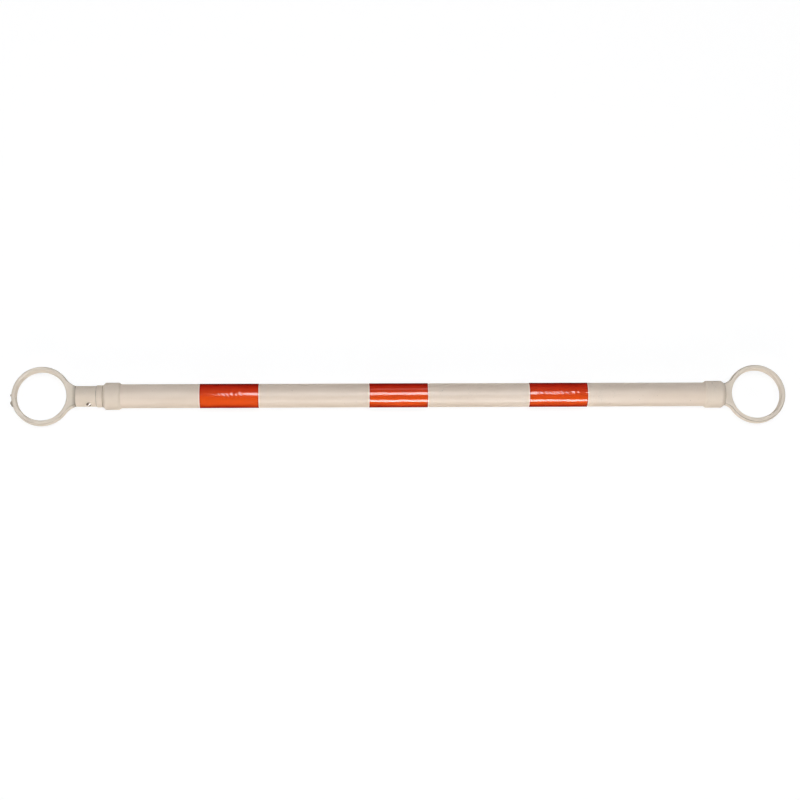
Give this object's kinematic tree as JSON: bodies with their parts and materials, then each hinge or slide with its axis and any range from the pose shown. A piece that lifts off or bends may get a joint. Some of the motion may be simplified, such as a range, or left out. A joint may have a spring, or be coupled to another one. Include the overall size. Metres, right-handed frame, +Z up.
{
  "type": "telescopic cone bar",
  "caption": "Telescopic cone bar: tubes that slide in one another, a moulded ring at each end that drops over a traffic cone's tip, and reflective bands round the outer tube.",
  "frame": {"origin": "centre of the fixed ring's bore, on the bar's axis", "axes": "+X along the bar from the fixed ring to the sliding ring, +Z up along the rings' bores, out of the face that the picture shows"},
  "size_m": [1.2014, 0.092, 0.042],
  "materials": {
    "ivory_moulding": "satin as moulded",
    "ivory_tube": "satin as extruded",
    "reflective_film": "glossy retroreflective film",
    "screw_steel": "dull zinc plate",
    "natural_nylon": "as moulded"
  },
  "bodies": {
    "outer": {"fixed_ring": "ivory_moulding", "outer_tube": "ivory_tube", "tail_band": "reflective_film", "middle_band": "reflective_film", "mouth_band": "reflective_film", "mouth_collar": "ivory_moulding", "guide_bush": "natural_nylon"},
    "friction": {"friction_ring": "natural_nylon"},
    "inner": {"stop_bush": "natural_nylon", "stop_pin": "screw_steel", "inner_tube": "ivory_tube", "sliding_ring": "ivory_moulding", "ring_screw": "screw_steel"}
  },
  "joints": [
    {"name": "extend", "type": "slide", "parent": "outer", "child": "friction", "axis": [1, 0, 0], "range_m": [0, 0.9]},
    {"name": "twist", "type": "hinge", "parent": "friction", "child": "inner", "pos_m": [0.092, 0, 0], "axis": [1, 0, 0], "continuous": true}
  ]
}
